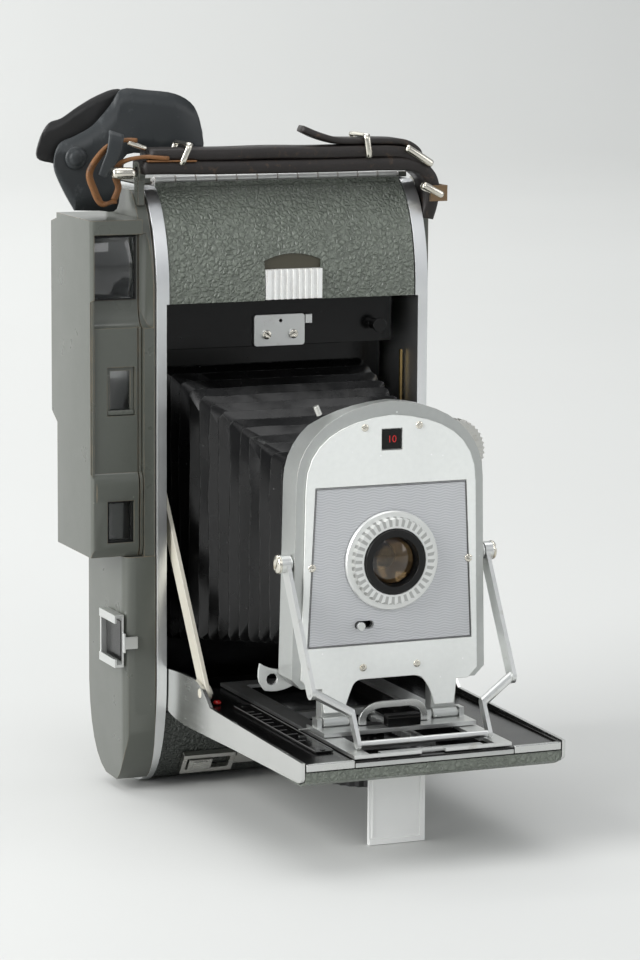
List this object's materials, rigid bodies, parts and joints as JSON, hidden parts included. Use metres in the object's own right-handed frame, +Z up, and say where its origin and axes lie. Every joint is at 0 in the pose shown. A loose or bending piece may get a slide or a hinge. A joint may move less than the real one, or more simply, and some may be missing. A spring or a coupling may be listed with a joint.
{
  "type": "folding instant camera",
  "caption": "Folding roll-film instant camera standing open: drop-front bed, bellows, lens standard with struts, side finder, leather strap and swing-open back.",
  "frame": {"origin": "centre of the camera body's flat base, on the ground", "axes": "+Z up along the standing body, -Y out through the lens, +X to the right seen from the front"},
  "size_m": [0.1702, 0.2089, 0.2883],
  "materials": {
    "trim": "brushed",
    "polished": "polished",
    "casting": "semi-gloss enamel",
    "cover": "pebbled grain",
    "gloss_black": "gloss",
    "bellows": "pleated, black",
    "satin": "satin",
    "plate": "pale satin enamel",
    "pattern": "printed metal",
    "glass": "coated",
    "strap": "worn",
    "vinyl": "soft sheet",
    "steel": "plated",
    "brass": "plain",
    "rubber": "moulded",
    "paper": "rolled paper"
  },
  "bodies": {
    "body": {"accessory_shoe": "satin", "base_plate": "casting", "bed_catch_plate": "satin", "bellows": "bellows", "exit_latch_frame": "steel", "film_cutter_bar": "steel", "film_gate_frame": "gloss_black", "finder_eyepiece": "gloss_black", "finder_flap": "vinyl", "finder_housing": "casting", "focus_window": "glass", "handle_strap": "strap", "hinge_body_leaf": "steel", "lower_front_panel": "cover", "rangefinder_window": "glass", "side_casting_left": "casting", "side_casting_right": "casting", "side_frame_left": "trim", "side_frame_right": "trim", "strap_buckle": "steel", "strap_lug_left": "casting", "strap_lug_right": "steel", "tripod_bush": "brass", "upper_front_cover": "cover", "viewfinder_lens": "glass"},
    "bed": {"bed_pan": "gloss_black", "bed_leather": "cover", "bed_arm_left": "polished", "bed_arm_right": "polished", "distance_scale": "satin"},
    "knob": {"focus_knob": "rubber"},
    "foot": {"support_foot": "trim"},
    "brace_left": {"bed_brace_left": "plate"},
    "brace_right": {"bed_brace_right": "plate"},
    "track": {"focus_track": "satin"},
    "carriage": {"lens_carriage": "satin", "lock_handle": "polished"},
    "lock_latch": {"standard_lock_latch": "gloss_black"},
    "standard": {"standard_case": "satin", "face_plate": "plate", "pattern_panel": "pattern", "lens_bezel": "plate", "lens_cell": "gloss_black", "front_lens": "glass", "shutter_plate": "gloss_black", "rear_lens_cell": "glass", "cable_release_post": "steel"},
    "strut": {"strut_frame": "satin"},
    "wheel": {"exposure_wheel": "steel"},
    "release_lever": {"shutter_release_lever": "satin"},
    "selector": {"shutter_selector": "satin"},
    "back_door": {"back_door": "casting", "hinge_door_leaf": "steel", "pressure_plate": "gloss_black"},
    "film_switch": {"film_release_switch": "gloss_black"},
    "cover_latch": {"cover_latch_button": "satin"},
    "exit_latch": {"exit_latch_button": "steel"},
    "roller_lower": {"pressure_roller_lower": "steel"},
    "roller_upper": {"pressure_roller_upper": "steel"},
    "film_spool": {"film_spool": "paper"}
  },
  "joints": [
    {"name": "bed_fold", "type": "hinge", "parent": "body", "child": "bed", "pos_m": [0, -0.0195, 0.0455], "axis": [-1, 0, 0], "range_deg": [0, 90], "deforming": ["bellows"]},
    {"name": "carriage_slide", "type": "slide", "parent": "track", "child": "carriage", "axis": [0, 1, 0], "range_m": [0, 0.13801]},
    {"name": "standard_tilt", "type": "hinge", "parent": "carriage", "child": "standard", "pos_m": [0, -0.131, 0.048], "axis": [-1, 0, 0], "range_deg": [-90, 0]},
    {"name": "strut_fold", "type": "hinge", "parent": "standard", "child": "strut", "pos_m": [0, -0.127, 0.1114], "axis": [-1, 0, 0], "range_deg": [0, 145.5]},
    {"name": "brace_fold_left", "type": "hinge", "parent": "bed", "child": "brace_left", "pos_m": [-0.0528, -0.0676, 0.0491], "axis": [-1, 0, 0], "range_deg": [-124.5, 0]},
    {"name": "brace_fold_right", "type": "hinge", "parent": "bed", "child": "brace_right", "pos_m": [0.0528, -0.0676, 0.0491], "axis": [-1, 0, 0], "range_deg": [-124.5, 0]},
    {"name": "focus_turn", "type": "hinge", "parent": "bed", "child": "knob", "pos_m": [0, -0.113, 0.027], "axis": [0, 0, 1], "range_deg": [-162, 0]},
    {"name": "focus_slide", "type": "slide", "parent": "bed", "child": "track", "axis": [0, -1, 0], "range_m": [0, 0.017]},
    {"name": "foot_fold", "type": "hinge", "parent": "bed", "child": "foot", "pos_m": [0, -0.14, 0.0322], "axis": [-1, 0, 0], "range_deg": [0, 90]},
    {"name": "lock_latch_pull", "type": "slide", "parent": "carriage", "child": "lock_latch", "axis": [0, 1, 0], "range_m": [0, 0.0019], "stiffness_N_per_m": 200},
    {"name": "exposure_turn", "type": "hinge", "parent": "standard", "child": "wheel", "pos_m": [0.0305, -0.122, 0.151], "axis": [0, 1, 0], "range_deg": [0, 210]},
    {"name": "shutter_press", "type": "hinge", "parent": "standard", "child": "release_lever", "pos_m": [-0.0294, -0.116, 0.0734], "axis": [0, -1, 0], "range_deg": [0, 12], "stiffness_Nm_per_rad": 0.05},
    {"name": "selector_slide", "type": "slide", "parent": "standard", "child": "selector", "axis": [1, 0, 0], "range_m": [0, 0.004]},
    {"name": "back_door_swing", "type": "hinge", "parent": "body", "child": "back_door", "pos_m": [0, -0.0107, 0.2514], "axis": [1, 0, 0], "range_deg": [0, 90], "deforming": ["finder_flap"]},
    {"name": "film_switch_slide", "type": "slide", "parent": "back_door", "child": "film_switch", "axis": [1, 0, 0], "range_m": [0, 0.003]},
    {"name": "cover_latch_push", "type": "slide", "parent": "body", "child": "cover_latch", "axis": [0, 0, 1], "range_m": [0, 0.0032], "stiffness_N_per_m": 150},
    {"name": "exit_latch_slide", "type": "slide", "parent": "body", "child": "exit_latch", "axis": [1, 0, 0], "range_m": [0, 0.006]},
    {"name": "roller_lower_turn", "type": "hinge", "parent": "body", "child": "roller_lower", "pos_m": [0, 0.011, 0.0094], "axis": [1, 0, 0], "continuous": true},
    {"name": "roller_upper_turn", "type": "hinge", "parent": "body", "child": "roller_upper", "pos_m": [0, 0.011, 0.02], "axis": [1, 0, 0], "continuous": true},
    {"name": "film_spool_turn", "type": "hinge", "parent": "body", "child": "film_spool", "pos_m": [0, 0.002, 0.227], "axis": [1, 0, 0], "continuous": true}
  ],
  "couplings": [
    {"joint": "carriage_slide", "follows": "bed_fold", "m_per_rad": 0.087854},
    {"joint": "standard_tilt", "follows": "bed_fold", "ratio": -1},
    {"joint": "strut_fold", "follows": "bed_fold", "ratio": 1.6167},
    {"joint": "brace_fold_left", "follows": "bed_fold", "ratio": -1.3833},
    {"joint": "brace_fold_right", "follows": "bed_fold", "ratio": -1.3833},
    {"joint": "focus_slide", "follows": "focus_turn", "m_per_rad": -0.006}
  ]
}
